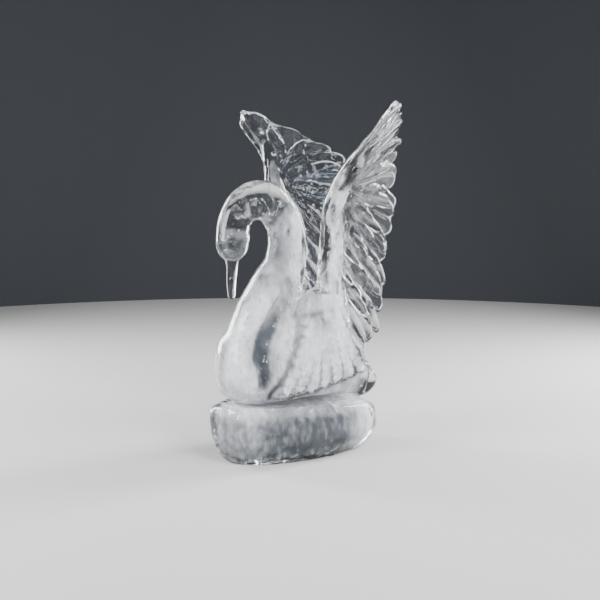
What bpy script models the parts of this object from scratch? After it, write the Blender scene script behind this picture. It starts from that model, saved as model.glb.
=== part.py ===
"""Ice swan sculpture: a swan with its wings raised, carved with its rough footing from one block of ice.

Run with: blender --background --python part.py
Metres, +Z up. The swan faces -Y, its left wing is at +X, and the origin is on the underside.
"""

import math
from typing import NamedTuple

import bmesh
import bpy
from mathutils import Vector

# ---- driving dimensions -------------------------------------------------------------------------
WING_TIP_HEIGHT = 0.938  # top of the wing bone; the tip blade rounds off a little above it
WING_WAIST = 0.092  # from the middle plane to a wing where it stands upright
WING_FOLD_HEIGHT = 0.692  # where the hand of the wing folds outward
WING_FOLD_ROUND = 0.060
WING_LEAN = 0.95  # sideways run of the hand for each metre of its rise
RIGHT_WING_DIP = 0.045  # how far the right hand's middle is carved inward of the left's
FLANK_TOP = 0.46
FLANK_BULGE = 0.034  # how far the folded feathers swell over the flank
CUP = 0.42  # how much the trailing feathers of the hand close in over the back
CUP_START = 0.04
WEB_THICKNESS = 0.010  # of the sheet that the feathers are cut from, at the wing's tip
SHOULDER_MIDDLE = (0.058, 0.012, 0.350)
SHOULDER_RADII = (0.060, 0.085, 0.110)  # across, along the body and up
SHOULDER_LEAN = 0.014

TIP_BLADE_SHARES = (0.03, 0.13)  # places of the two broad blades behind the wing's tip
FIRST_FEATHER_SHARE = 0.24  # place of the first slim feather; the last is at 1
FLIGHT_FEATHERS = 17
COVERT_FEATHERS = 12
LESSER_COVERTS = 15
FLANK_FEATHERS = 7
TAIL_FEATHERS = 5

TIP_BLADE_WIDTH = 0.085
FLIGHT_WIDTH = 0.062
COVERT_WIDTH = 0.048
LESSER_COVERT_WIDTH = 0.042
FLANK_FEATHER_WIDTH = 0.066
TAIL_LENGTH = 0.114
TAIL_HALF_HEIGHT = 0.056

BASE_LENGTH = 0.475
BASE_WIDTH = 0.300
BASE_MIDDLE = -0.014
BASE_HEIGHT = 0.142
BASE_SLOPE = 0.045  # the top falls this much for each metre towards the tail
BASE_TAPER = 0.30  # share of its width that the block loses at the head's end
SEAT_MIDDLE = (0, -0.020, 0.132)
SEAT_RADII = (0.112, 0.215, 0.040)

CORE_VOXEL = 0.006  # cell of the remesh that fuses neck, body and wing bones
FILLET_STEPS = 45  # smoothing passes that make one flowing mass of them
VOXEL = 0.0042  # cell of the remesh that fuses every carved form into one solid
MELT_STEPS = 5  # smoothing passes that round every crest, as melting does
KEPT_SHARE = 0.037  # share of the fused faces that the solid keeps

# ---- profiles, each row a station ---------------------------------------------------------------
# Neck and head, from inside the breast over the arch to the crown: y, z, half width, half depth
NECK = (
    (-0.085, 0.215, 0.105, 0.120),
    (-0.120, 0.290, 0.100, 0.124),
    (-0.113, 0.370, 0.077, 0.101),
    (-0.082, 0.450, 0.060, 0.078),
    (-0.048, 0.520, 0.050, 0.063),
    (-0.040, 0.585, 0.047, 0.056),
    (-0.060, 0.645, 0.046, 0.053),
    (-0.115, 0.690, 0.045, 0.053),
    (-0.182, 0.683, 0.043, 0.049),
    (-0.219, 0.640, 0.042, 0.043),
    (-0.226, 0.590, 0.044, 0.044),
    (-0.226, 0.558, 0.036, 0.038),
    (-0.226, 0.542, 0.022, 0.025),
)
# Bill, from inside the crown down to its tip: y, z, half width, half depth
BILL = (
    (-0.226, 0.562, 0.022, 0.020),
    (-0.227, 0.530, 0.019, 0.016),
    (-0.229, 0.485, 0.016, 0.012),
    (-0.229, 0.446, 0.013, 0.009),
    (-0.228, 0.433, 0.006, 0.005),
)
# Body, from breast to rump: y, z of the middle, half width, half height
BODY = (
    (-0.262, 0.258, 0.020, 0.030),
    (-0.242, 0.256, 0.064, 0.080),
    (-0.195, 0.262, 0.097, 0.113),
    (-0.120, 0.268, 0.119, 0.133),
    (-0.030, 0.280, 0.128, 0.148),
    (0.060, 0.262, 0.122, 0.134),
    (0.140, 0.226, 0.102, 0.102),
    (0.190, 0.198, 0.072, 0.066),
    (0.214, 0.188, 0.036, 0.038),
)
# Leading edge of a wing, flank to tip: y, z, radius across, radius in the wing's plane
WING_ARM = (
    (0.030, 0.230, 0.010, 0.024),
    (0.030, 0.300, 0.022, 0.042),
    (0.030, 0.400, 0.030, 0.046),
    (0.033, 0.530, 0.029, 0.042),
    (0.032, 0.630, 0.027, 0.038),
    (0.027, 0.708, 0.024, 0.031),
    (0.030, 0.775, 0.020, 0.026),
    (0.042, 0.850, 0.015, 0.020),
    (0.052, 0.910, 0.012, 0.016),
    (0.058, WING_TIP_HEIGHT, 0.009, 0.016),
)
# Where the flight feathers spring from, and where they end, from the tip down to the flank: y, z.
# A feather's place is its share of the way along both curves.
FEATHER_ROOTS = (
    (0.028, 0.755),
    (0.038, 0.752),
    (0.060, 0.735),
    (0.078, 0.685),
    (0.078, 0.590),
    (0.050, 0.470),
)
FEATHER_TIPS = (
    (0.062, 0.948),
    (0.138, 0.902),
    (0.218, 0.850),
    (0.262, 0.770),
    (0.268, 0.670),
    (0.248, 0.570),
    (0.238, 0.460),
    (0.205, 0.365),
    (0.130, 0.275),
)


def smooth_rows(rows, steps):
    """A Catmull-Rom curve through rows of numbers, with this many steps in each span."""
    rows = [rows[0], *rows, rows[-1]]
    curve = []
    for before, start, end, after in zip(rows, rows[1:], rows[2:], rows[3:]):
        for k in range(steps):
            t = k / steps
            curve.append(
                tuple(
                    b + 0.5 * t * (c - a + t * (2 * a - 5 * b + 4 * c - d + t * (3 * (b - c) + d - a)))
                    for a, b, c, d in zip(before, start, end, after)
                )
            )
    return [*curve, rows[-1]]


def along(rows, share):
    """The row at this share of the way along a curve's spans."""
    spans = len(rows) - 1
    span = min(int(share * spans), spans - 1)
    fine = smooth_rows(rows, 24)
    return fine[span * 24 + round((share * spans - span) * 24)]


def add_loft(bm, rings):
    """A closed skin over rings of points."""
    loops = [[bm.verts.new(p) for p in ring] for ring in rings]
    count = len(loops[0])
    for low, high in zip(loops, loops[1:]):
        for k in range(count):
            following = (k + 1) % count
            bm.faces.new((low[k], low[following], high[following], high[k]))
    bm.faces.new(loops[0][::-1])
    bm.faces.new(loops[-1])


def ellipse(centre, across, along_depth, count=20):
    """Points round an ellipse with these two half axes, as vectors."""
    angles = (2 * math.pi * k / count for k in range(count))
    return [centre + across * math.cos(a) + along_depth * math.sin(a) for a in angles]


def add_tube(bm, rows, steps=5):
    """A tube in the middle plane through rows of y, z, half width and half depth."""
    rows = smooth_rows(rows, steps)
    rings = []
    for k, (y, z, half_width, half_depth) in enumerate(rows):
        before, after = rows[max(k - steps, 0)], rows[min(k + steps, len(rows) - 1)]
        heading = Vector((0, after[0] - before[0], after[1] - before[1])).normalized()
        depth = Vector((0, -heading.z, heading.y)) * half_depth
        rings.append(ellipse(Vector((0, y, z)), Vector((half_width, 0, 0)), depth))
    add_loft(bm, rings)


def add_mass(bm, middle, radii, lean=0.0):
    """A rounded mass with these radii across, along the body and up, which leans sideways by this much."""
    rings = []
    for k in range(13):
        lift = math.sin(math.pi * (k / 12 - 0.5) * 0.97)
        reach = math.sqrt(1 - lift * lift)
        centre = Vector(middle) + Vector((lean * lift, 0, radii[2] * lift))
        rings.append(ellipse(centre, Vector((radii[0] * reach, 0, 0)), Vector((0, radii[1] * reach, 0))))
    add_loft(bm, rings)


def add_shoulder(bm, side):
    """The mass that carries a wing out of the back."""
    x, y, z = SHOULDER_MIDDLE
    add_mass(bm, (side * x, y, z), SHOULDER_RADII, side * SHOULDER_LEAN)


def add_seat(bm):
    """The low mound of the footing that the body rests in."""
    add_mass(bm, SEAT_MIDDLE, SEAT_RADII)


def add_body(bm):
    rows = smooth_rows(BODY, 4)
    add_loft(
        bm,
        [
            ellipse(Vector((0, y, z)), Vector((half_width, 0, 0)), Vector((0, 0, half_height)), 28)
            for y, z, half_width, half_height in rows
        ],
    )


# ---- wings --------------------------------------------------------------------------------------
def soft_positive(value, softness):
    """The value where it is positive and zero where it isn't, with the corner rounded off."""
    return 0.5 * (value + math.sqrt(value * value + softness * softness))


def eased(value, start, end):
    """0 up to the start, 1 from the end on, and an even slope between them."""
    t = min(max((value - start) / (end - start), 0), 1)
    return t * t * (3 - 2 * t)


def wing_lateral(y, z, side):
    """How far a wing's middle surface stands from the middle plane at this y and z, for side 1 or -1."""
    out = WING_WAIST + WING_LEAN * soft_positive(z - WING_FOLD_HEIGHT, WING_FOLD_ROUND)
    below = min(max((FLANK_TOP - z) / (FLANK_TOP - 0.08), 0), 1)
    out += FLANK_BULGE * math.sin(math.pi * below) * (1 - (y / 0.30) ** 2)
    if side < 0:
        out -= RIGHT_WING_DIP * math.sin(math.pi * min(max((z - 0.70) / 0.25, 0), 1)) ** 2
    return out - CUP * eased(z, 0.63, 0.85) * soft_positive(y - CUP_START, 0.02)


def wing_point(y, z, out, side):
    """The point this far outside a wing's middle surface, on the left for side 1, on the right for -1."""
    step = 0.004
    slope_y = (wing_lateral(y + step, z, side) - wing_lateral(y - step, z, side)) / (2 * step)
    slope_z = (wing_lateral(y, z + step, side) - wing_lateral(y, z - step, side)) / (2 * step)
    normal = Vector((1, -slope_y, -slope_z)).normalized()
    point = Vector((wing_lateral(y, z, side), y, z)) + normal * out
    return Vector((side * point.x, point.y, point.z))


def blade_share(t):
    """A feather's width at a share of its length: slim at the quill, full past its middle, then round."""
    full = 0.42 + 0.58 * math.sin(min(t / 0.62, 1) * math.pi / 2)
    end = max(t - 0.70, 0) / 0.30
    return full * math.sqrt(max(1 - end**1.8, 0.0))


class Feather(NamedTuple):
    """A feather on a wing, from root to tip as y and z. Its tip is hooked down by this much."""

    root: Vector
    tip: Vector
    width: float
    thickness: float
    out: float
    bow: float
    tilt: float
    hook: float = 0.0


def quill(feather, t):
    """The middle of a bowed feather at a share of its length, and the unit vector across it, as y and z."""
    root, tip = feather.root, feather.tip
    chord = tip - root
    middle = (root + tip) / 2 + Vector((-chord.y, chord.x)) * feather.bow
    centre = root * (1 - t) ** 2 + middle * 2 * t * (1 - t) + tip * t * t
    heading = (middle - root) * (1 - t) + (tip - middle) * t
    across = Vector((-heading.y, heading.x)).normalized()
    return centre - across * feather.hook * (max(t - 0.55, 0) / 0.45) ** 2, across


def add_feather(bm, side, feather, steps=14, count=10):
    """A flat blade with a raised quill, bent over the wing's surface."""
    rings = []
    for k in range(steps + 1):
        t = 0.985 * k / steps
        centre, across = quill(feather, t)
        half_width = 0.5 * feather.width * blade_share(t)
        half_thick = 0.5 * feather.thickness * (1 - 0.55 * t) * max(blade_share(t), 0.25)
        ring = []
        for j in range(count):
            angle = 2 * math.pi * j / count
            spot = centre + across * half_width * math.cos(angle)
            lift = half_thick * math.sin(angle) + feather.tilt * half_width * math.cos(angle)
            ring.append(wing_point(spot.x, spot.y, feather.out + lift, side))
        rings.append(ring)
    add_loft(bm, rings)


def uneven(number, phase):
    """A hand-carved difference for this feather, from -1 to 1."""
    return math.sin(2.4 * number + phase)


def add_arm(bm, side):
    """The thick leading edge, from shoulder to tip, drawn out thin towards the feathers."""
    rows = smooth_rows(WING_ARM, 5)
    rings = []
    for k, (y, z, across, inplane) in enumerate(rows):
        before, after = rows[max(k - 1, 0)], rows[min(k + 1, len(rows) - 1)]
        heading = Vector((after[0] - before[0], after[1] - before[1])).normalized()
        ring = []
        for j in range(16):
            angle = 2 * math.pi * j / 16
            rear = max(-math.cos(angle), 0) * eased(z, 0.40, 0.60)
            spread = inplane * math.cos(angle) * (1 + 0.9 * rear)
            lift = across * math.sin(angle) * (1 - 0.55 * rear)
            ring.append(wing_point(y - heading.y * spread, z + heading.x * spread, lift, side))
        rings.append(ring)
    add_loft(bm, rings)


def feather_place(share):
    """Root and tip of the flight feather at this share of the way from the wing's tip to the flank."""
    return Vector(along(FEATHER_ROOTS, share)), Vector(along(FEATHER_TIPS, share))


def add_web(bm, side):
    """The sheet of ice that the feathers are cut from, from the arm almost to the feathers' tips."""
    rings = []
    for k in range(31):
        share = 0.01 + 0.94 * k / 30
        root, tip = feather_place(share)
        reach = 0.80 + 0.18 * (1 - eased(share, 0.12, 0.32)) - 0.12 * eased(share, 0.50, 0.80)
        front, back = root.lerp(tip, -0.22), root.lerp(tip, reach)
        half_thick = 0.5 * WEB_THICKNESS * (1 + 1.2 * share)
        ring = []
        for j in range(16):
            angle = 2 * math.pi * j / 16
            back_share = 0.5 + 0.5 * math.cos(angle)
            spot = front.lerp(back, back_share)
            lift = half_thick * (1 + 1.2 * (1 - back_share) ** 2) * math.sin(angle)
            ring.append(wing_point(spot.x, spot.y, lift, side))
        rings.append(ring)
    add_loft(bm, rings)


def tip_blades():
    """The two broad blades behind the wing's tip."""
    blades = []
    for k, share in enumerate(TIP_BLADE_SHARES):
        root, tip = feather_place(share)
        tip = root.lerp(tip, 1 + 0.010 * uneven(k, 0.4))
        out, bow = 0.004 * uneven(k, 4.0), 0.08 - 0.30 * share + 0.05 * uneven(k, 3.1)
        hook = 0.004 * (1 + 0.35 * uneven(k, 5.3))
        blades.append(Feather(root, tip, TIP_BLADE_WIDTH, 0.019 + 0.012 * share, out, bow, 0.34, hook))
    return blades


def flight_feathers():
    """The long slim feathers, with uneven tips hooked down."""
    feathers = []
    for k in range(len(TIP_BLADE_SHARES), FLIGHT_FEATHERS):
        along_row = (k - len(TIP_BLADE_SHARES)) / (FLIGHT_FEATHERS - len(TIP_BLADE_SHARES) - 1)
        share = FIRST_FEATHER_SHARE + (1 - FIRST_FEATHER_SHARE) * along_row
        root, tip = feather_place(share)
        ragged = 0.010 + 0.040 * eased(share, 0.40, 0.60)
        feathers.append(
            Feather(
                root,
                root.lerp(tip, 1 + ragged * uneven(k, 0.4)),
                width=(FLIGHT_WIDTH - 0.006 * share) * (1 + 0.16 * uneven(k, 1.9)),
                thickness=0.019 + 0.012 * share,
                out=0.004 * uneven(k, 4.0) + 0.012 * eased(share, 0.70, 0.95),
                bow=0.08 - 0.30 * share + 0.05 * uneven(k, 3.1),
                tilt=0.34,
                hook=(0.004 + 0.020 * eased(share, 0.10, 0.35)) * (1 + 0.35 * uneven(k, 5.3)),
            )
        )
    return feathers


def covert_feathers(out, thickness):
    """The short feathers over the roots of the long ones, this far outside the wing's middle surface."""
    feathers = []
    for k in range(COVERT_FEATHERS):
        share = 0.06 + 0.88 * k / (COVERT_FEATHERS - 1)
        root, tip = feather_place(share)
        start = root + (root - tip).normalized() * 0.018
        end = root.lerp(tip, 0.52 + 0.07 * uneven(k, 2.2))
        raised = out * (1 + 0.8 * eased(share, 0.60, 0.90))
        feathers.append(Feather(start, end, COVERT_WIDTH, thickness, raised, 0.06 - 0.20 * share, 0.24))
    return feathers


def lesser_coverts(out):
    """The smallest feathers, which lie over the arm's rear edge."""
    feathers = []
    for k in range(LESSER_COVERTS):
        share = 0.03 + 0.90 * k / (LESSER_COVERTS - 1)
        root, tip = feather_place(share)
        start = root + (root - tip).normalized() * 0.040
        swept = Vector((0, 0.060 * eased(share, 0.25, 0.60)))
        end = root.lerp(tip, 0.30 + 0.06 * uneven(k, 0.9)) - swept
        feathers.append(Feather(start, end, LESSER_COVERT_WIDTH, 0.018, out, 0.04 - 0.26 * share, 0.22))
    return feathers


def flank_feathers():
    """The broad feathers that fan down over the body from the shoulder, flatter towards the breast."""
    feathers = []
    for k in range(FLANK_FEATHERS):
        share = k / (FLANK_FEATHERS - 1)
        start = Vector((0.015 - 0.050 * share, 0.400 - 0.010 * share))
        end = Vector((0.132 - 0.275 * share, 0.215 - 0.050 * math.sin(0.5 * math.pi * share)))
        out, bow = -0.014 * share, -0.10 + 0.10 * share
        feathers.append(Feather(start, end, FLANK_FEATHER_WIDTH, 0.040, out, bow, 0.14))
    return feathers


def add_wing(bm, side):
    add_arm(bm, side)
    add_web(bm, side)
    coverts = [*covert_feathers(0.011, 0.020), *lesser_coverts(0.015), *covert_feathers(-0.008, 0.012)]
    for feather in [*tip_blades(), *flight_feathers(), *flank_feathers(), *coverts]:
        add_feather(bm, side, feather)


def add_tail(bm):
    """Short broad feathers at the rump, fanned over the middle plane and turned up a little."""
    for k in range(TAIL_FEATHERS):
        lean = -1 + 2 * k / (TAIL_FEATHERS - 1)
        rings = []
        for j in range(13):
            t = 0.985 * j / 12
            length = TAIL_LENGTH - 0.020 * lean**2
            centre = Vector((lean * (0.020 + 0.026 * t), 0.150 + length * t, 0.170 + 0.018 * t * t))
            end = max(t - 0.60, 0) / 0.40
            roundness = math.sqrt(max(1 - end * end, 0))
            across = Vector((0.026 * roundness, 0, 0))
            up = Vector((0, -0.010, (TAIL_HALF_HEIGHT - 0.008 * abs(lean)) * roundness))
            rings.append(ellipse(centre, across, up, 12))
        add_loft(bm, rings)


# ---- footing ------------------------------------------------------------------------------------
def base_levels():
    """Level, then the share of full size at the side, the front end and the tail end."""
    levels = (
        (-0.09, 0.74, 0.86, 0.76),
        (0.10, 0.86, 0.92, 0.87),
        (0.30, 0.96, 0.955, 0.97),
        (0.48, 1.00, 0.98, 1.00),
        (0.70, 1.00, 1.00, 0.98),
        (0.86, 0.96, 0.99, 0.93),
        (0.95, 0.90, 0.95, 0.86),
        (1.00, 0.79, 0.86, 0.76),
    )
    return smooth_rows(levels, 3)


def add_base(bm):
    """The rough-hewn block, a rounded oblong with uneven sides, hewn in under both ends."""
    rings = []
    for level, side_share, front_share, tail_share in base_levels():
        ring = []
        for j in range(48):
            angle = 2 * math.pi * j / 48
            c, s = math.cos(angle), math.sin(angle)
            squareness = (abs(c) ** 4 + abs(s) ** 4) ** -0.25
            hewn = 1 + 0.020 * math.sin(3 * angle + 0.8 + level)
            hewn += 0.016 * math.sin(5 * angle + 2.1 - 2 * level)
            x = 0.5 * BASE_WIDTH * side_share * squareness * hewn * c
            y = 0.5 * BASE_LENGTH * (tail_share if s > 0 else front_share) * squareness * hewn * s
            x *= 1 - BASE_TAPER * eased(-y, 0.02, 0.5 * BASE_LENGTH)
            shift = -0.045 * max(0.5 - level, 0) if s > 0 else -0.012
            ring.append(Vector((x, y + shift * abs(s) + BASE_MIDDLE, level * (BASE_HEIGHT - BASE_SLOPE * y))))
        rings.append(ring)
    add_loft(bm, rings)


# ---- the one solid ------------------------------------------------------------------------------
def ice_material():
    material = bpy.data.materials.new("clear_ice")
    material.use_nodes = True
    shader = material.node_tree.nodes["Principled BSDF"]
    shader.inputs["Base Color"].default_value = (0.93, 0.97, 1.0, 1.0)
    shader.inputs["Roughness"].default_value = 0.06
    shader.inputs["Transmission Weight"].default_value = 1.0
    shader.inputs["IOR"].default_value = 1.31
    return material


def flat_cutter():
    """A helper block whose top is the plane that the sculpture stands on."""
    mesh = bpy.data.meshes.new("underside_cut")
    bm = bmesh.new()
    bmesh.ops.create_cube(bm, size=1.0)
    bmesh.ops.translate(bm, verts=bm.verts, vec=(0, 0, -0.5))
    bm.to_mesh(mesh)
    cutter = bpy.data.objects.new("underside_cut", mesh)
    cutter.hide_render = True
    cutter.display_type = "WIRE"
    bpy.context.scene.collection.objects.link(cutter)
    return cutter


def new_object(name, bm):
    mesh = bpy.data.meshes.new(name)
    bm.to_mesh(mesh)
    bm.free()
    made = bpy.data.objects.new(name, mesh)
    bpy.context.scene.collection.objects.link(made)
    return made


def fuse_and_smooth(solid, voxel, steps):
    """Modifiers that make one skin of overlapping forms, then round it."""
    fuse = solid.modifiers.new("fuse", "REMESH")
    fuse.mode = "VOXEL"
    fuse.voxel_size = voxel
    fuse.use_smooth_shade = True
    melt = solid.modifiers.new("melt", "SMOOTH")
    melt.factor = 0.5
    melt.iterations = steps


def add_big_forms(bm):
    add_body(bm)
    add_tube(bm, NECK)
    for side in (1, -1):
        add_arm(bm, side)


def add_filleted_core(bm):
    """Neck, body, shoulders and wing bones, run together with wide fillets."""
    forms = bmesh.new()
    add_big_forms(forms)
    for side in (1, -1):
        add_shoulder(forms, side)
    core = new_object("core", forms)
    fuse_and_smooth(core, CORE_VOXEL, FILLET_STEPS)
    graph = bpy.context.evaluated_depsgraph_get()
    graph.update()
    bm.from_mesh(core.evaluated_get(graph).to_mesh())
    bpy.data.objects.remove(core)


def build_swan():
    bm = bmesh.new()
    add_filleted_core(bm)
    add_big_forms(bm)
    add_base(bm)
    add_seat(bm)
    add_tube(bm, BILL)
    add_tail(bm)
    for side in (1, -1):
        add_wing(bm, side)
    swan = new_object("ice_swan", bm)
    swan.data.materials.append(ice_material())
    fuse_and_smooth(swan, VOXEL, MELT_STEPS)
    facet = swan.modifiers.new("facet", "DECIMATE")
    facet.ratio = KEPT_SHARE
    cut = swan.modifiers.new("flat_underside", "BOOLEAN")
    cut.operation = "DIFFERENCE"
    cut.object = flat_cutter()
    return swan


for leftover in list(bpy.data.objects):
    bpy.data.objects.remove(leftover)
build_swan()
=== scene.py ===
"""Looks of the ice swan: the finely carved clear ice, what is sealed in it, and a studio to see it in.

Metres, +Z up. The swan faces -Y, its left wing is at +X, and it stands on z = 0.
"""

import math
import random
from typing import NamedTuple

import bmesh
import bpy
import numpy as np
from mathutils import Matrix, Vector, noise


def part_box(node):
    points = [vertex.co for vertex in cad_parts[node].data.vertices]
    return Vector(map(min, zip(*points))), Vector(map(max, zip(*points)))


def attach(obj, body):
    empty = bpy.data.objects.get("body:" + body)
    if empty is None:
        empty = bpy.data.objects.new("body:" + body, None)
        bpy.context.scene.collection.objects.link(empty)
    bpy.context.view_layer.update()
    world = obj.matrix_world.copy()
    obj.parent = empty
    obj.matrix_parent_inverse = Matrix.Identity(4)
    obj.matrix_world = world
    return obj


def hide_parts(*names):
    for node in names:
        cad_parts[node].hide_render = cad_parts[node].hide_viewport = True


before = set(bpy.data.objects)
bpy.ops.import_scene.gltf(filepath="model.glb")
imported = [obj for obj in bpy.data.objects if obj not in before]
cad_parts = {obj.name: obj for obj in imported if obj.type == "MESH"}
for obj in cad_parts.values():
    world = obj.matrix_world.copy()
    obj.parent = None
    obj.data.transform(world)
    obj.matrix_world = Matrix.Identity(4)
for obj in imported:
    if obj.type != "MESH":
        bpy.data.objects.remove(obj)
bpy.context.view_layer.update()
CAD_LOW, CAD_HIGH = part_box("ice_swan")

# ---- driving dimensions, those of the solid that this surface replaces --------------------------
HEIGHT = CAD_HIGH.z - CAD_LOW.z
WING_TIP_HEIGHT = 0.9959 * HEIGHT
WING_WAIST = 0.092
WING_FOLD_HEIGHT = 0.692
WING_FOLD_ROUND = 0.060
WING_LEAN = 0.95
FLANK_TOP = 0.46
FLANK_BULGE = 0.034
CUP = 0.42
CUP_START = 0.04
RIGHT_WING_DIP = 0.045

TIP_BLADE_SHARES = (0.03, 0.13)
FIRST_FEATHER_SHARE = 0.24
FLIGHT_FEATHERS = 17
COVERT_FEATHERS = 12
LESSER_COVERTS = 15
FLANK_FEATHERS = 7
TAIL_FEATHERS = 5

TIP_BLADE_WIDTH = 0.085
FLIGHT_WIDTH = 0.062
COVERT_WIDTH = 0.048
LESSER_COVERT_WIDTH = 0.042
FLANK_FEATHER_WIDTH = 0.066
TAIL_LENGTH = 0.114
TAIL_HALF_HEIGHT = 0.056

BASE_LENGTH = 0.475
BASE_WIDTH = 0.300
BASE_MIDDLE = -0.014
BASE_HEIGHT = 0.142
BASE_SLOPE = 0.045
BASE_TAPER = 0.30
SEAT_MIDDLE = (0, -0.020, 0.132)
SEAT_RADII = (0.112, 0.215, 0.040)
SHOULDER_MIDDLE = (0.058, 0.012, 0.350)
SHOULDER_RADII = (0.060, 0.085, 0.110)
SHOULDER_LEAN = 0.014

CORE_VOXEL = 0.006
FILLET_STEPS = 45
VOXEL = 0.0032
MELT_STEPS = 4
MOST_TRIANGLES = 190000

# ---- profiles, each row a station ---------------------------------------------------------------
# Neck and head: y, z, half width, half depth
NECK = (
    (-0.085, 0.215, 0.105, 0.120),
    (-0.120, 0.290, 0.100, 0.124),
    (-0.113, 0.370, 0.077, 0.101),
    (-0.082, 0.450, 0.060, 0.078),
    (-0.048, 0.520, 0.050, 0.063),
    (-0.040, 0.585, 0.047, 0.056),
    (-0.060, 0.645, 0.046, 0.053),
    (-0.115, 0.690, 0.045, 0.053),
    (-0.182, 0.683, 0.043, 0.049),
    (-0.219, 0.640, 0.042, 0.043),
    (-0.226, 0.590, 0.044, 0.044),
    (-0.226, 0.558, 0.036, 0.038),
    (-0.226, 0.542, 0.022, 0.025),
)
# Bill: y, z, half width, half depth
BILL = (
    (-0.226, 0.562, 0.022, 0.020),
    (-0.227, 0.530, 0.019, 0.016),
    (-0.229, 0.485, 0.016, 0.012),
    (-0.229, 0.446, 0.013, 0.009),
    (-0.228, 0.433, 0.006, 0.005),
)
# Body, from breast to rump: y, z of the middle, half width, half height
BODY = (
    (-0.262, 0.258, 0.020, 0.030),
    (-0.242, 0.256, 0.064, 0.080),
    (-0.195, 0.262, 0.097, 0.113),
    (-0.120, 0.268, 0.119, 0.133),
    (-0.030, 0.280, 0.128, 0.148),
    (0.060, 0.262, 0.122, 0.134),
    (0.140, 0.226, 0.102, 0.102),
    (0.190, 0.198, 0.072, 0.066),
    (0.214, 0.188, 0.036, 0.038),
)
# Leading edge of a wing, flank to tip: y, z, radius across, radius in the wing's plane
WING_ARM = (
    (0.030, 0.230, 0.010, 0.024),
    (0.030, 0.300, 0.022, 0.042),
    (0.030, 0.400, 0.030, 0.046),
    (0.033, 0.530, 0.029, 0.042),
    (0.032, 0.630, 0.027, 0.038),
    (0.027, 0.708, 0.024, 0.031),
    (0.030, 0.775, 0.020, 0.026),
    (0.042, 0.850, 0.015, 0.020),
    (0.052, 0.910, 0.012, 0.016),
    (0.058, WING_TIP_HEIGHT, 0.009, 0.016),
)
# Where the flight feathers spring from and where they end, from the tip down to the flank: y, z
FEATHER_ROOTS = (
    (0.028, 0.755),
    (0.038, 0.752),
    (0.060, 0.735),
    (0.078, 0.685),
    (0.078, 0.590),
    (0.050, 0.470),
)
FEATHER_TIPS = (
    (0.062, 0.948),
    (0.138, 0.902),
    (0.218, 0.850),
    (0.262, 0.770),
    (0.268, 0.670),
    (0.248, 0.570),
    (0.238, 0.460),
    (0.205, 0.365),
    (0.130, 0.275),
)


# ---- curves and lofts ---------------------------------------------------------------------------
def smooth_rows(rows, steps):
    """A Catmull-Rom curve through rows of numbers, with this many steps in each span."""
    rows = [rows[0], *rows, rows[-1]]
    curve = []
    for before, start, end, after in zip(rows, rows[1:], rows[2:], rows[3:]):
        for k in range(steps):
            t = k / steps
            curve.append(
                tuple(
                    b + 0.5 * t * (c - a + t * (2 * a - 5 * b + 4 * c - d + t * (3 * (b - c) + d - a)))
                    for a, b, c, d in zip(before, start, end, after)
                )
            )
    return [*curve, rows[-1]]


def along(rows, share):
    """The row at this share of the way along a curve's spans."""
    spans = len(rows) - 1
    span = min(int(share * spans), spans - 1)
    fine = smooth_rows(rows, 24)
    return fine[span * 24 + round((share * spans - span) * 24)]


def add_loft(bm, rings):
    """A closed skin over rings of points."""
    loops = [[bm.verts.new(p) for p in ring] for ring in rings]
    count = len(loops[0])
    for low, high in zip(loops, loops[1:]):
        for k in range(count):
            following = (k + 1) % count
            bm.faces.new((low[k], low[following], high[following], high[k]))
    bm.faces.new(loops[0][::-1])
    bm.faces.new(loops[-1])


def ellipse(centre, across, along_depth, count=28):
    """Points round an ellipse with these two half axes, as vectors."""
    angles = (2 * math.pi * k / count for k in range(count))
    return [centre + across * math.cos(a) + along_depth * math.sin(a) for a in angles]


def add_tube(bm, rows, steps=7, thin=1.0):
    """A tube in the middle plane through rows of y, z, half width and half depth, this share as thick."""
    rows = smooth_rows(rows, steps)
    rings = []
    for k, (y, z, half_width, half_depth) in enumerate(rows):
        before, after = rows[max(k - steps, 0)], rows[min(k + steps, len(rows) - 1)]
        heading = Vector((0, after[0] - before[0], after[1] - before[1])).normalized()
        depth = Vector((0, -heading.z, heading.y)) * half_depth * thin
        rings.append(ellipse(Vector((0, y, z)), Vector((half_width * thin, 0, 0)), depth))
    add_loft(bm, rings)


def add_body(bm, thin=1.0):
    """The body from breast to rump, at this share of its thickness."""
    rings = []
    for y, z, half_width, half_height in smooth_rows(BODY, 6):
        across, up = Vector((half_width * thin, 0, 0)), Vector((0, 0, half_height * thin))
        rings.append(ellipse(Vector((0, y * (0.5 + 0.5 * thin), z)), across, up, 36))
    add_loft(bm, rings)


def add_mass(bm, middle, radii, lean=0.0):
    """A rounded mass with these radii across, along the body and up, which leans sideways by this much."""
    rings = []
    for k in range(13):
        lift = math.sin(math.pi * (k / 12 - 0.5) * 0.97)
        reach = math.sqrt(1 - lift * lift)
        centre = Vector(middle) + Vector((lean * lift, 0, radii[2] * lift))
        rings.append(ellipse(centre, Vector((radii[0] * reach, 0, 0)), Vector((0, radii[1] * reach, 0))))
    add_loft(bm, rings)


def add_shoulder(bm, side, thin=1.0):
    """The mass that carries a wing out of the back, at this share of its thickness."""
    x, y, z = SHOULDER_MIDDLE
    add_mass(bm, (side * x, y, z), [radius * thin for radius in SHOULDER_RADII], side * SHOULDER_LEAN)


# ---- wings --------------------------------------------------------------------------------------
def soft_positive(value, softness):
    """The value where it is positive and zero where it isn't, with the corner rounded off."""
    return 0.5 * (value + math.sqrt(value * value + softness * softness))


def eased(value, start, end):
    """0 up to the start, 1 from the end on, and an even slope between them."""
    t = min(max((value - start) / (end - start), 0), 1)
    return t * t * (3 - 2 * t)


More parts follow.
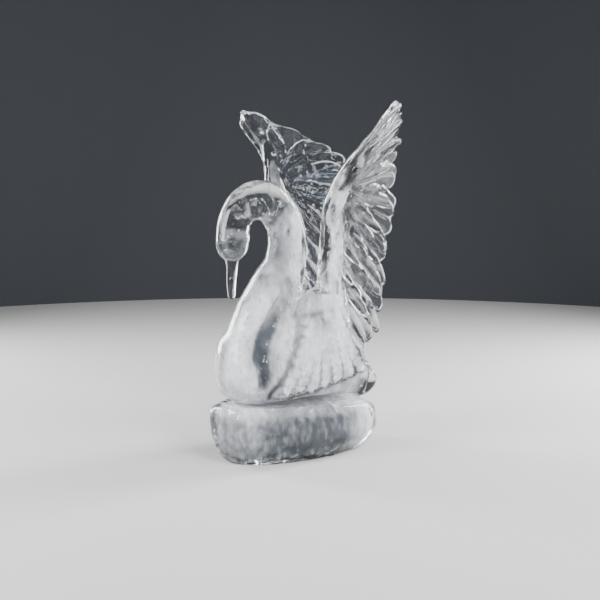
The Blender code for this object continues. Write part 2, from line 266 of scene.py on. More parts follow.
def wing_lateral(y, z, side):
    """How far a wing's middle surface stands from the middle plane at this y and z, for side 1 or -1."""
    out = WING_WAIST + WING_LEAN * soft_positive(z - WING_FOLD_HEIGHT, WING_FOLD_ROUND)
    below = min(max((FLANK_TOP - z) / (FLANK_TOP - 0.08), 0), 1)
    out += FLANK_BULGE * math.sin(math.pi * below) * (1 - (y / 0.30) ** 2)
    if side < 0:
        out -= RIGHT_WING_DIP * math.sin(math.pi * min(max((z - 0.70) / 0.25, 0), 1)) ** 2
    return out - CUP * eased(z, 0.63, 0.85) * soft_positive(y - CUP_START, 0.02)


def wing_point(y, z, out, side):
    """The point this far outside a wing's middle surface, on the left for side 1, on the right for -1."""
    step = 0.004
    slope_y = (wing_lateral(y + step, z, side) - wing_lateral(y - step, z, side)) / (2 * step)
    slope_z = (wing_lateral(y, z + step, side) - wing_lateral(y, z - step, side)) / (2 * step)
    normal = Vector((1, -slope_y, -slope_z)).normalized()
    point = Vector((wing_lateral(y, z, side), y, z)) + normal * out
    return Vector((side * point.x, point.y, point.z))


def blade_share(t):
    """A feather's width at a share of its length: slim at the quill, full past its middle, then round."""
    full = 0.42 + 0.58 * math.sin(min(t / 0.62, 1) * math.pi / 2)
    end = max(t - 0.70, 0) / 0.30
    return full * math.sqrt(max(1 - end**1.8, 0.0))


class Feather(NamedTuple):
    """A feather on a wing, from root to tip as y and z. Its tip is hooked down by this much."""

    root: Vector
    tip: Vector
    width: float
    thickness: float
    out: float
    bow: float
    tilt: float
    hook: float = 0.0


def quill(feather, t):
    """The middle of a bowed feather at a share of its length, and the unit vector across it, as y and z."""
    root, tip = feather.root, feather.tip
    chord = tip - root
    middle = (root + tip) / 2 + Vector((-chord.y, chord.x)) * feather.bow
    centre = root * (1 - t) ** 2 + middle * 2 * t * (1 - t) + tip * t * t
    heading = (middle - root) * (1 - t) + (tip - middle) * t
    across = Vector((-heading.y, heading.x)).normalized()
    return centre - across * feather.hook * (max(t - 0.55, 0) / 0.45) ** 2, across


def add_feather(bm, side, feather, steps=22, count=18):
    """A flat blade with a raised quill, bent over the wing's surface."""
    rings = []
    for k in range(steps + 1):
        t = 0.985 * k / steps
        centre, across = quill(feather, t)
        half_width = 0.5 * feather.width * blade_share(t)
        half_thick = 0.5 * feather.thickness * (1 - 0.55 * t) * max(blade_share(t), 0.25)
        ring = []
        for j in range(count):
            angle = 2 * math.pi * j / count
            spot = centre + across * half_width * math.cos(angle)
            lift = half_thick * math.sin(angle) + feather.tilt * half_width * math.cos(angle)
            ring.append(wing_point(spot.x, spot.y, feather.out + lift, side))
        rings.append(ring)
    add_loft(bm, rings)


def uneven(number, phase):
    """A hand-carved difference for this feather, from -1 to 1."""
    return math.sin(2.4 * number + phase)


def add_arm(bm, side, thin=1.0):
    """The thick leading edge, from shoulder to tip, at this share of its thickness."""
    rows = smooth_rows(WING_ARM, 6)
    rings = []
    for k, (y, z, across, inplane) in enumerate(rows):
        before, after = rows[max(k - 1, 0)], rows[min(k + 1, len(rows) - 1)]
        heading = Vector((after[0] - before[0], after[1] - before[1])).normalized()
        ring = []
        for j in range(20):
            angle = 2 * math.pi * j / 20
            rear = max(-math.cos(angle), 0) * eased(z, 0.40, 0.60)
            spread = inplane * thin * math.cos(angle) * (1 + 0.9 * rear)
            lift = across * thin * math.sin(angle) * (1 - 0.55 * rear)
            ring.append(wing_point(y - heading.y * spread, z + heading.x * spread, lift, side))
        rings.append(ring)
    add_loft(bm, rings)


def feather_place(share):
    """Root and tip of the flight feather at this share of the way from the wing's tip to the flank."""
    return Vector(along(FEATHER_ROOTS, share)), Vector(along(FEATHER_TIPS, share))


def add_web(bm, side):
    """The sheet of ice that the feathers are cut from, from the arm almost to the feathers' tips."""
    rings = []
    for k in range(61):
        share = 0.01 + 0.94 * k / 60
        root, tip = feather_place(share)
        reach = 0.80 + 0.18 * (1 - eased(share, 0.12, 0.32)) - 0.12 * eased(share, 0.50, 0.80)
        front, back = root.lerp(tip, -0.22), root.lerp(tip, reach)
        half_thick = 0.005 + 0.006 * share
        ring = []
        for j in range(20):
            angle = 2 * math.pi * j / 20
            back_share = 0.5 + 0.5 * math.cos(angle)
            spot = front.lerp(back, back_share)
            lift = half_thick * (1 + 1.2 * (1 - back_share) ** 2) * math.sin(angle)
            ring.append(wing_point(spot.x, spot.y, lift, side))
        rings.append(ring)
    add_loft(bm, rings)


def flight_share(k):
    """The place of this flight feather as its share of the way from the wing's tip to the flank."""
    if k < len(TIP_BLADE_SHARES):
        return TIP_BLADE_SHARES[k]
    along_row = (k - len(TIP_BLADE_SHARES)) / (FLIGHT_FEATHERS - len(TIP_BLADE_SHARES) - 1)
    return FIRST_FEATHER_SHARE + (1 - FIRST_FEATHER_SHARE) * along_row


def flight_width(k, share):
    """The width of this flight feather, of which the first two are broad blades."""
    if k < len(TIP_BLADE_SHARES):
        return TIP_BLADE_WIDTH
    return (FLIGHT_WIDTH - 0.006 * share) * (1 + 0.16 * uneven(k, 1.9))


def flight_feathers():
    """The long feathers, from the two broad blades behind the wing's tip down to the flank."""
    feathers = []
    for k in range(FLIGHT_FEATHERS):
        share = flight_share(k)
        root, tip = feather_place(share)
        ragged = 0.010 + 0.040 * eased(share, 0.40, 0.60)
        feathers.append(
            Feather(
                root,
                root.lerp(tip, 1 + ragged * uneven(k, 0.4)),
                width=flight_width(k, share),
                thickness=0.019 + 0.012 * share,
                out=0.004 * uneven(k, 4.0) + 0.012 * eased(share, 0.70, 0.95),
                bow=0.08 - 0.30 * share + 0.05 * uneven(k, 3.1),
                tilt=0.34,
                hook=(0.004 + 0.020 * eased(share, 0.10, 0.35)) * (1 + 0.35 * uneven(k, 5.3)),
            )
        )
    return feathers


def covert_feathers(out, thickness=0.020):
    """The short feathers over the roots of the long ones, this far outside the wing's middle surface."""
    feathers = []
    for k in range(COVERT_FEATHERS):
        share = 0.06 + 0.88 * k / (COVERT_FEATHERS - 1)
        root, tip = feather_place(share)
        start = root + (root - tip).normalized() * 0.018
        end = root.lerp(tip, 0.52 + 0.07 * uneven(k, 2.2))
        raised = out * (1 + 0.8 * eased(share, 0.60, 0.90))
        feathers.append(Feather(start, end, COVERT_WIDTH, thickness, raised, 0.06 - 0.20 * share, 0.24))
    return feathers


def lesser_coverts(out):
    """The smallest feathers, which lie over the arm's rear edge."""
    feathers = []
    for k in range(LESSER_COVERTS):
        share = 0.03 + 0.90 * k / (LESSER_COVERTS - 1)
        root, tip = feather_place(share)
        start = root + (root - tip).normalized() * 0.040
        swept = Vector((0, 0.060 * eased(share, 0.25, 0.60)))
        end = root.lerp(tip, 0.30 + 0.06 * uneven(k, 0.9)) - swept
        feathers.append(Feather(start, end, LESSER_COVERT_WIDTH, 0.018, out, 0.04 - 0.26 * share, 0.22))
    return feathers


def flank_feathers():
    """The broad feathers that fan down over the body from the shoulder, flatter towards the breast."""
    feathers = []
    for k in range(FLANK_FEATHERS):
        share = k / (FLANK_FEATHERS - 1)
        start = Vector((0.015 - 0.050 * share, 0.400 - 0.010 * share))
        end = Vector((0.132 - 0.275 * share, 0.215 - 0.050 * math.sin(0.5 * math.pi * share)))
        out, bow = -0.014 * share, -0.10 + 0.10 * share
        feathers.append(Feather(start, end, FLANK_FEATHER_WIDTH, 0.040, out, bow, 0.14))
    return feathers


def add_wing(bm, side):
    """A whole wing, with coverts on its outer and its inner face."""
    add_arm(bm, side)
    add_web(bm, side)
    coverts = [*covert_feathers(0.011), *lesser_coverts(0.015), *covert_feathers(-0.008, 0.012)]
    for feather in [*flight_feathers(), *flank_feathers(), *coverts]:
        add_feather(bm, side, feather)


def add_tail(bm):
    """Short broad feathers at the rump, fanned over the middle plane and turned up a little."""
    for k in range(TAIL_FEATHERS):
        lean = -1 + 2 * k / (TAIL_FEATHERS - 1)
        rings = []
        for j in range(15):
            t = 0.985 * j / 14
            length = TAIL_LENGTH - 0.020 * lean**2
            centre = Vector((lean * (0.020 + 0.026 * t), 0.150 + length * t, 0.170 + 0.018 * t * t))
            end = max(t - 0.60, 0) / 0.40
            roundness = math.sqrt(max(1 - end * end, 0))
            half_width = 0.026 * roundness
            half_height = (TAIL_HALF_HEIGHT - 0.008 * abs(lean)) * roundness
            rings.append(ellipse(centre, Vector((half_width, 0, 0)), Vector((0, -0.010, half_height)), 14))
        add_loft(bm, rings)


# ---- footing ------------------------------------------------------------------------------------
def base_levels():
    """Level, then the share of full size at the side, the front end and the tail end."""
    levels = (
        (-0.09, 0.74, 0.86, 0.76),
        (0.10, 0.86, 0.92, 0.87),
        (0.30, 0.96, 0.955, 0.97),
        (0.48, 1.00, 0.98, 1.00),
        (0.70, 1.00, 1.00, 0.98),
        (0.86, 0.96, 0.99, 0.93),
        (0.95, 0.90, 0.95, 0.86),
        (1.00, 0.79, 0.86, 0.76),
    )
    return smooth_rows(levels, 4)


def add_base(bm):
    """The rough-hewn block, a rounded oblong with uneven sides, hewn in under both ends."""
    rings = []
    for level, side_share, front_share, tail_share in base_levels():
        ring = []
        for j in range(72):
            angle = 2 * math.pi * j / 72
            c, s = math.cos(angle), math.sin(angle)
            squareness = (abs(c) ** 4 + abs(s) ** 4) ** -0.25
            hewn = 1 + 0.020 * math.sin(3 * angle + 0.8 + level)
            hewn += 0.016 * math.sin(5 * angle + 2.1 - 2 * level)
            x = 0.5 * BASE_WIDTH * side_share * squareness * hewn * c
            y = 0.5 * BASE_LENGTH * (tail_share if s > 0 else front_share) * squareness * hewn * s
            x *= 1 - BASE_TAPER * eased(-y, 0.02, 0.5 * BASE_LENGTH)
            shift = -0.045 * max(0.5 - level, 0) if s > 0 else -0.012
            ring.append(Vector((x, y + shift * abs(s) + BASE_MIDDLE, level * (BASE_HEIGHT - BASE_SLOPE * y))))
        rings.append(ring)
    add_loft(bm, rings)


# ---- the carved surface -------------------------------------------------------------------------
def new_piece(name, bm, material=None):
    """An object made of what the bmesh holds."""
    mesh = bpy.data.meshes.new(name)
    bm.to_mesh(mesh)
    bm.free()
    piece = bpy.data.objects.new(name, mesh)
    bpy.context.scene.collection.objects.link(piece)
    if material:
        mesh.materials.append(material)
    return piece


def connected_parts(bm):
    """The points of each part of a mesh that hangs together."""
    seen, parts = set(), []
    for start in bm.verts:
        if start in seen:
            continue
        seen.add(start)
        part = [start]
        for vertex in part:
            for edge in vertex.link_edges:
                other = edge.other_vert(vertex)
                if other not in seen:
                    seen.add(other)
                    part.append(other)
        parts.append(part)
    return parts


def keep_main_part(mesh):
    """Drops the specks that fusing leaves apart from the main skin."""
    bm = bmesh.new()
    bm.from_mesh(mesh)
    specks = sorted(connected_parts(bm), key=len)[:-1]
    for speck in specks:
        bmesh.ops.delete(bm, geom=speck, context="VERTS")
    bm.to_mesh(mesh)
    bm.free()


def smooth_piece(name, bm, material):
    """An object with smooth shading."""
    piece = new_piece(name, bm, material)
    piece.data.shade_smooth()
    return piece


def fused(name, bm, voxel, steps):
    """One rounded skin over overlapping forms, as a new mesh."""
    piece = new_piece(name, bm)
    fuse = piece.modifiers.new("fuse", "REMESH")
    fuse.mode = "VOXEL"
    fuse.voxel_size = voxel
    melt = piece.modifiers.new("melt", "SMOOTH")
    melt.factor = 0.5
    melt.iterations = steps
    bake(piece)
    keep_main_part(piece.data)
    return piece


def bake(piece):
    """Keeps what the modifiers make of a piece, and drops the modifiers."""
    graph = bpy.context.evaluated_depsgraph_get()
    graph.update()
    mesh = bpy.data.meshes.new_from_object(piece.evaluated_get(graph))
    piece.modifiers.clear()
    piece.data = mesh


def add_big_forms(bm):
    """Body, neck and wing bones."""
    add_body(bm)
    add_tube(bm, NECK)
    for side in (1, -1):
        add_arm(bm, side)


def filleted_core():
    """Neck, body, shoulders and wing bones, run together with wide fillets."""
    forms = bmesh.new()
    add_big_forms(forms)
    for side in (1, -1):
        add_shoulder(forms, side)
    return fused("core", forms, CORE_VOXEL, FILLET_STEPS)


def points_of(mesh):
    """The points of a mesh as an array with a row for each."""
    points = np.empty(len(mesh.vertices) * 3, np.float32)
    mesh.vertices.foreach_get("co", points)
    return points.reshape(-1, 3)


def melt_ripple(point):
    """How far melting has lifted or sunk the surface here."""
    wide = noise.noise(point * 17.0)
    fine = noise.noise(point * 46.0 + Vector((3.1, 0.7, 5.2)))
    return 0.0028 * wide + 0.0012 * fine


def hewn_chips(point):
    """The broad chisel facets on the footing, none above it."""
    share = 1 - eased(point.z, 0.105, 0.150)
    if share <= 0:
        return 0.0
    cell = noise.voronoi(point * Vector((12, 10, 16)), distance_metric="DISTANCE")[0][0]
    return share * 0.010 * (cell * cell - 0.30)


def weather(mesh):
    """Moves each point along its normal by the ripples of melting and, on the footing, the chips."""
    points = points_of(mesh)
    normals = np.empty(len(mesh.vertices) * 3, np.float32)
    mesh.vertex_normals.foreach_get("vector", normals)
    normals = normals.reshape(-1, 3)
    for k, row in enumerate(points):
        spot = Vector(row)
        points[k] += normals[k] * (melt_ripple(spot) + hewn_chips(spot))
    mesh.vertices.foreach_set("co", points.reshape(-1))
    mesh.update()


def flatten_underside(piece):
    """Cuts the footing off flat on the ground."""
    bm = bmesh.new()
    bm.from_mesh(piece.data)
    parts = [*bm.verts, *bm.edges, *bm.faces]
    cut = bmesh.ops.bisect_plane(bm, geom=parts, plane_co=(0, 0, 0), plane_no=(0, 0, -1), clear_outer=True)
    edges = [e for e in cut["geom_cut"] if isinstance(e, bmesh.types.BMEdge)]
    bmesh.ops.contextual_create(bm, geom=edges)
    bmesh.ops.triangulate(bm, faces=bm.faces)
    bmesh.ops.recalc_face_normals(bm, faces=bm.faces)
    bm.to_mesh(piece.data)
    bm.free()


def build_swan(material):
    """The whole sculpture as one finely carved skin."""
    core = filleted_core()
    bm = bmesh.new()
    bm.from_mesh(core.data)
    bpy.data.objects.remove(core)
    add_big_forms(bm)
    add_base(bm)
    add_mass(bm, SEAT_MIDDLE, SEAT_RADII)
    add_tube(bm, BILL)
    add_tail(bm)
    for side in (1, -1):
        add_wing(bm, side)
    swan = fused("carved_ice", bm, VOXEL, MELT_STEPS)
    weather(swan.data)
    triangles = 2 * len(swan.data.polygons)
    thin = swan.modifiers.new("thin", "DECIMATE")
    thin.ratio = min(MOST_TRIANGLES / triangles, 1)
    bake(swan)
    flatten_underside(swan)
    swan.data.materials.append(material)
    swan.data.shade_smooth()
    return swan


# ---- materials ----------------------------------------------------------------------------------
# Painted shade: the slate that the milky air fades to stands in for the dark that clear ice shows.
PAINTED_SHADE_SLATE = (0.045, 0.053, 0.066, 1)
WHITE = (0.96, 0.975, 1.0, 1)
# Painted sheen: a bluish tint for the faint streaks of the clear right wing, standing in for reflected blue.
PAINTED_SHEEN_BLUE = (0.55, 0.70, 0.95, 1)


def node_material(name):
    """A new material, its nodes, its links and its shader."""
    material = bpy.data.materials.new(name)
    material.use_nodes = True
    nodes = material.node_tree.nodes
    return material, nodes, material.node_tree.links, nodes["Principled BSDF"]


def noise_node(nodes, links, scale, detail, stretch=(1, 1, 1), space="Object"):
    """A noise pattern in the piece's own metres, or in its UV map."""
    coordinates = nodes.new("ShaderNodeTexCoord")
    mapping = nodes.new("ShaderNodeMapping")
    mapping.inputs["Scale"].default_value = stretch
    pattern = nodes.new("ShaderNodeTexNoise")
    pattern.inputs["Scale"].default_value = scale
    pattern.inputs["Detail"].default_value = detail
    links.new(coordinates.outputs[space], mapping.inputs["Vector"])
    links.new(mapping.outputs["Vector"], pattern.inputs["Vector"])
    return pattern


def ice_material():
    """Clear ice, wet and smooth in some places and duller in others, with a fine ripple."""
    material, nodes, links, shader = node_material("clear_ice")
    shader.inputs["Base Color"].default_value = (0.97, 0.985, 1.0, 1.0)
    shader.inputs["Transmission Weight"].default_value = 1.0
    shader.inputs["IOR"].default_value = 1.31
    wet = noise_node(nodes, links, 9.0, 3.0)
    spread = nodes.new("ShaderNodeMapRange")
    spread.inputs["From Min"].default_value = 0.40
    spread.inputs["From Max"].default_value = 0.75
    spread.inputs["To Min"].default_value = 0.01
    spread.inputs["To Max"].default_value = 0.09
    links.new(wet.outputs["Fac"], spread.inputs["Value"])
    links.new(spread.outputs["Result"], shader.inputs["Roughness"])
    ripple = noise_node(nodes, links, 80.0, 3.0)
    bump = nodes.new("ShaderNodeBump")
    bump.inputs["Strength"].default_value = 0.30
    bump.inputs["Distance"].default_value = 0.0016
    links.new(ripple.outputs["Fac"], bump.inputs["Height"])
    links.new(bump.outputs["Normal"], shader.inputs["Normal"])
    return material


def math_node(nodes, links, operation, first, second):
    """A Math node fed by two sockets or plain numbers."""
    node = nodes.new("ShaderNodeMath")
    node.operation = operation
    for socket, value in zip(node.inputs, (first, second)):
        if isinstance(value, bpy.types.NodeSocket):
            links.new(value, socket)
        else:
            socket.default_value = value
    return node.outputs["Value"]


def milk_and_painted_shade_material(name, thick_colour, broken, space, scale, stretch, low, high):
    """Trapped air, painted slate where it is thin, as painted shade for the dark that clear ice shows. Its
    piece says how white it is and how much it covers.

    A noise pattern breaks up one of these two readings, the one named as broken.
    """
    material, nodes, links, shader = node_material(name)
    shader.inputs["Roughness"].default_value = 0.9
    shader.inputs["Specular IOR Level"].default_value = 0.0
    pattern = noise_node(nodes, links, scale, 5.0, stretch, space)
    spread = nodes.new("ShaderNodeMapRange")
    spread.inputs["From Min"].default_value = low
    spread.inputs["From Max"].default_value = high
    links.new(pattern.outputs["Fac"], spread.inputs["Value"])
    readings = {}
    for reading in ("milk", "cover"):
        node = nodes.new("ShaderNodeAttribute")
        node.attribute_name = reading
        readings[reading] = node.outputs["Fac"]
    readings[broken] = math_node(nodes, links, "MULTIPLY", readings[broken], spread.outputs["Result"])
    links.new(readings["cover"], shader.inputs["Alpha"])
    # Painted shade: where the milk reading is low, the colour goes to slate.
    colour = nodes.new("ShaderNodeMix")
    colour.data_type = "RGBA"
    colour.inputs["A"].default_value = PAINTED_SHADE_SLATE
    colour.inputs["B"].default_value = thick_colour
    links.new(readings["milk"], colour.inputs["Factor"])
    links.new(colour.outputs["Result"], shader.inputs["Base Color"])
    return material


# ---- what is sealed in the ice ------------------------------------------------------------------
AIR_VOXEL = 0.006
LOWEST_AIR = 0.006  # of the smallest air above the underside; a wider form reaches down nearer to this
FLANK_QUILLS = [quill(feather, t / 9)[0] for feather in flank_feathers() for t in range(1, 9)]
RING_BUBBLE = (Vector((0.026, -0.118, 0.657)), 0.0080)
BEAD_RADIUS = 0.0042
RIGHT_BEADS = ((0.064, 0.930), (0.052, 0.872), (0.040, 0.812))
LEFT_BEAD = (0.076, 0.926)
LARGE_BUBBLE = 0.005  # radius from which a bubble is round and needs finer faces


def seam_front(z):
    """Where the seam in the breast runs, as y at this height; the seam is clear of air and its darkness is
    painted shade.
    """
    return -0.183 + 0.105 * eased(z, 0.29, 0.46)


def seam_share(point):
    """How far into the seam of the breast a point is, from 0 to 1, which the air's colour paints dark as
    painted shade.
    """
    tall = math.sin(math.pi * min(max((point.z - 0.19) / 0.30, 0), 1)) ** 0.7
    wander = 0.010 * noise.noise(point * 16.0)
    off = abs(point.y - seam_front(point.z) + wander)
    across = 1 - eased(off, 0.020 * tall, 0.005 + 0.031 * tall)
    return eased(tall, 0.0, 0.4) * across * eased(abs(point.x), 0.01, 0.04)


def neck_middle(z):
    """The y of the middle of the neck at this height, above the breast."""
    heights = [row[1] for row in NECK[:8]]
    return float(np.interp(z, heights, [row[0] for row in NECK[:8]]))


def painted_flank_groove_shade(point):
    """How far a point of the flank lies between the ridges of its feathers, from 0 to 1, where painted shade
    darkens the air in the grooves.
    """
    if point.y < -0.20 or point.z > 0.42 or point.z < 0.13 or abs(point.x) < 0.05:
        return 0.0
    spot = Vector((point.y, point.z))
    off = min((place - spot).length for place in FLANK_QUILLS)
    between = eased(off, 0.010, 0.021) * (1 - eased(off, 0.025, 0.040))
    return between * eased(0.42 - point.z, 0.0, 0.06)


def arch_share(point):
    """How far into the clear arch of the neck and the head a point is, from 0 to 1."""
    if point.y > 0:
        return 0.0
    head = 0.9 * max(-0.13 - point.y, 0)
    nape = 0.09 * eased(point.y, -0.070, -0.030)
    strokes = 0.06 * noise.fractal(point * Vector((50, 50, 9)), 1.0, 2.0, 3)
    return eased(point.z + head - nape + strokes, 0.55, 0.68)


def brush_strokes(point):
    """Upright strokes of thicker and thinner air, strongest ahead of the seam."""
    strokes = 0.20 * noise.fractal(point * Vector((13, 13, 5)), 1.0, 2.0, 3)
    strokes += 0.14 * noise.fractal(point * Vector((44, 44, 14)), 1.0, 2.0, 3)
    return strokes * (2.0 - 1.1 * eased(point.y - seam_front(point.z), -0.03, 0.02))


def bone_cover(point):
    """How much the tufts of air in a wing's bone cover, less up the left wing and in the whole right one."""
    clear = eased(point.z, 0.62, 0.92) if point.x > 0 else eased(point.z, 0.40, 0.52)
    tuft = noise.fractal(point * Vector((40, 40, 9)) + Vector((3.0, 0.0, 6.0)), 1.0, 2.0, 4)
    return 0.92 * (1 - 0.8 * clear) * eased(tuft, 0.50 * clear - 0.32, 0.40 * clear + 0.26)


def body_milk_and_painted_shade(point):
    """How white the air is at a point of body, neck or shoulders, with painted shade in it, and how much it
    covers, from 0 to 1.
    """
    white = 0.72 + 0.28 * eased(point.y - seam_front(point.z), 0.0, 0.06)
    cover = 0.97
    # Painted shade: the air at the front of the neck is made dark and at its back white.
    if point.z > 0.40 and point.y < 0.02:
        back = 0.26 + 0.72 * eased(point.y - neck_middle(point.z), -0.040, 0.015)
        white += (back - white) * eased(point.z, 0.40, 0.50)
    if point.y > -0.02 and point.z > 0.44:
        white, cover = 0.95, bone_cover(point)
    # Painted shade: the air is made darker low at the rump.
    painted_recess_shade = eased(point.y, 0.065, 0.095) * (1 - eased(point.z, 0.26, 0.31))
    shoulder = eased(point.z, 0.33, 0.38) * eased(point.y, -0.07, -0.02) * (1 - eased(point.z, 0.44, 0.48))
    white += brush_strokes(point) * (1.2 + 1.8 * shoulder)
    # Painted shade: darker low at the rump and in the grooves between the flank feathers; the shoulder band
    # is made darker too.
    white -= 0.24 * shoulder + 0.45 * painted_recess_shade + 0.80 * painted_flank_groove_shade(point)
    arch = arch_share(point)
    wisps = noise.fractal(point * Vector((24, 24, 16)) + Vector((2.0, 7.0, 3.0)), 1.0, 2.0, 4)
    wisps = eased(wisps, 0.30, 0.60)
    white += (0.22 + 0.55 * wisps - white) * arch
    cover += (0.34 * wisps - cover) * arch
    cover *= 1 - 0.95 * eased(point.y, 0.125, 0.175)
    # Painted shade: the air in the seam of the breast is made slate-dark.
    return min(max(white * (1 - 0.96 * seam_share(point)), 0.02), 1), cover


def veil_milk_and_painted_shade(point):
    """The same for the wisps between the milky heart and the surface, whose colour keeps half of the heart's
    painted shade.
    """
    white, cover = body_milk_and_painted_shade(point)
    wisp = noise.fractal(point * Vector((30, 30, 10)) + Vector((5.0, 2.0, 1.0)), 0.9, 2.0, 4)
    cover = 0.60 * cover * eased(wisp, -0.05, 0.35) * eased(white, 0.1, 0.6)
    frost = noise.fractal(point * Vector((26, 26, 18)) + Vector((1.0, 4.0, 9.0)), 1.0, 2.0, 4)
    return 0.5 + 0.5 * white, cover + (0.44 * eased(frost, 0.22, 0.54) - cover) * arch_share(point)


def base_milk_and_painted_shade(point):
    """The same for a point of the footing, whitest at its two ends and its top; its dark middle is painted
    shade.
    """
    front, back = eased(-point.y, 0.14, 0.22), eased(point.y, 0.03, 0.17)
    top = (0.34 + 0.25 * back + 0.30 * front) * eased(point.z, 0.10, 0.14)
    mottle = 0.09 * noise.fractal(point * Vector((10, 10, 18)), 1.0, 2.0, 4)
    mottle += 0.24 * noise.fractal(point * Vector((60, 60, 26)), 1.0, 2.0, 3)
    # Painted shade: low values here turn the footing's air slate.
    return min(max(0.04 + 0.22 * front + 0.84 * back + 1.2 * top + mottle, 0.04), 1), 0.92


def base_frost_and_painted_rim(point):
    """The same for the frost near the footing's skin, thickest along its upper and lower edges, where its
    white is partly a painted rim highlight.
    """
    edges = eased(point.z, 0.095, 0.135) + 1 - eased(point.z, 0.012, 0.040)
    ends = 0.5 * eased(abs(point.y - BASE_MIDDLE), 0.15, 0.22)
    wisp = noise.fractal(point * Vector((24, 24, 40)), 0.9, 2.0, 4)
    return 0.95, 0.75 * min(edges + ends + 0.02, 1) * eased(wisp, -0.20, 0.40)


def set_readings(mesh, reader):
    """Stores how white and how covering the air is at each point of a mesh, for its material to read."""
    values = np.array([reader(vertex.co) for vertex in mesh.vertices], np.float32)
    for column, name in enumerate(("milk", "cover")):
        layer = mesh.attributes.new(name, "FLOAT", "POINT")
        layer.data.foreach_set("value", np.ascontiguousarray(values[:, column]))


def ruffle(mesh, rough):
    """Roughens the edge of trapped air by this much, and draws it back from the dark seam."""
    normals = [vertex.normal.copy() for vertex in mesh.vertices]
    for vertex, normal in zip(mesh.vertices, normals):
        swell = rough * noise.fractal(vertex.co * 24.0, 1.0, 2.0, 3)
        vertex.co += normal * (swell - 0.022 * seam_share(vertex.co))
    mesh.update()


def build_shell(name, bm, steps, rough, reader, material):
    """One closed skin of trapped air over overlapping forms, with what this reader says at each point."""
    shell = fused(name, bm, AIR_VOXEL, steps)
    ruffle(shell.data, rough)
    set_readings(shell.data, reader)
    shell.data.materials.append(material)
    shell.data.shade_smooth()
    return shell


def add_body_forms(bm, body, neck, arm, feather_share):
    """The body's forms drawn in to these shares of their thickness."""
    add_body(bm, body)
    add_tube(bm, NECK, thin=neck)
    for side in (1, -1):
        add_shoulder(bm, side, body)
        add_arm(bm, side, arm)
        for feather in flank_feathers():
            slim = feather._replace(width=feather.width * 0.8, thickness=feather.thickness * feather_share)
            add_feather(bm, side, slim)


def build_heart(material):
    """The milky middle of body, neck and shoulders."""
    bm = bmesh.new()
    add_body_forms(bm, 0.88, 0.70, 0.50, 0.55)
    return build_shell("milky_heart", bm, 8, 0.010, body_milk_and_painted_shade, material)


def build_veil(material):
    """The wisps between the milky middle and the surface."""
    bm = bmesh.new()
    add_body_forms(bm, 0.95, 0.86, 0.75, 0.88)
    return build_shell("milky_veil", bm, 5, 0.003, veil_milk_and_painted_shade, material)


def build_base_cloud(name, share, rough, reader, material):
    """Trapped air in the footing, whose form is drawn in to this share of its size."""
    bm = bmesh.new()
    add_base(bm)
    middle = Vector((0, BASE_MIDDLE, 0.5 * BASE_HEIGHT))
    lowest = LOWEST_AIR / share**4
    for vertex in bm.verts:
        vertex.co = middle + (vertex.co - middle) * share
        vertex.co.z = max(vertex.co.z, lowest)
    return build_shell(name, bm, 6, rough, reader, material)


def sheet_layers(bm):
    """The UV map, whiteness and cover of a thin sheet of trapped air."""
    floats = bm.verts.layers.float
    floats.new("milk")
    floats.new("cover")
    return bm.loops.layers.uv.new("UVMap"), floats["milk"], floats["cover"]


def add_streak(bm, layers, side, feather, number, strength, peak):
    """A thin layer of trapped air along a feather, densest beside its quill and thin at its ends."""
    uv_layer, milk_layer, cover_layer = layers
    rows = []
    for k in range(25):
        t = 0.02 + 0.95 * k / 24
        centre, across = quill(feather, t)
        half_width = 0.46 * feather.width * blade_share(t)
        row = []
        for j in range(11):
            c = -1 + 2 * j / 10
            spot = centre + across * half_width * c
            lift = feather.out + feather.tilt * half_width * c
            vertex = bm.verts.new(wing_point(spot.x, spot.y, lift, side))
            fade = math.sqrt(1 - c * c) * math.exp(-(((c - peak) / 0.45) ** 2))
            fade *= eased(t, 0.0, 0.15) * (1 - eased(t, 0.80, 0.98))
            vertex[milk_layer] = 0.5 + 0.5 * fade
            vertex[cover_layer] = strength * fade
            row.append((vertex, (c + 3.0 * number, t)))
        rows.append(row)
    for low, high in zip(rows, rows[1:]):
        for k in range(10):
            corners = (low[k], low[k + 1], high[k + 1], high[k])
            face = bm.faces.new([corner[0] for corner in corners])
            for loop, corner in zip(face.loops, corners):
                loop[uv_layer].uv = corner[1]


def add_tip_rim(bm, layers, side, feather, strength):
    """A thin line of white air just inside the round tip of a feather, a painted rim highlight, whiter on one
    side of the tip.
    """
    uv_layer, milk_layer, cover_layer = layers
    (heel, across), (tip, _) = quill(feather, 0.78), quill(feather, 0.965)
    half_width = 0.40 * feather.width * blade_share(0.78)
    rows = []
    for k in range(31):
        turn = math.pi * (k / 30 - 0.5)
        row = []
        for share in (1.0, 0.91):
            spot = heel + ((tip - heel) * math.cos(turn) + across * half_width * math.sin(turn)) * share
            lift = feather.out + feather.tilt * half_width * math.sin(turn)
            vertex = bm.verts.new(wing_point(spot.x, spot.y, lift, side))
            vertex[milk_layer] = 1.0
            vertex[cover_layer] = strength * eased(math.cos(turn - 0.5), 0.0, 0.8)
            row.append(vertex)
        rows.append(row)
    for low, high in zip(rows, rows[1:]):
        face = bm.faces.new((low[0], low[1], high[1], high[0]))
        for loop in face.loops:
            loop[uv_layer].uv = loop.vert.co.yz


def build_streaks(name, side, strength, peak, feathers, material):
    """Streaks along a wing's feathers, fainter in the first few."""
    bm = bmesh.new()
    layers = sheet_layers(bm)
    for number, feather in enumerate(feathers):
        share = (0.80 + 0.20 * uneven(number, 5.0)) * (0.45 + 0.55 * eased(number, 1, 5))
        add_streak(bm, layers, side, feather, number, strength * share, peak)
    return smooth_piece(name, bm, material)


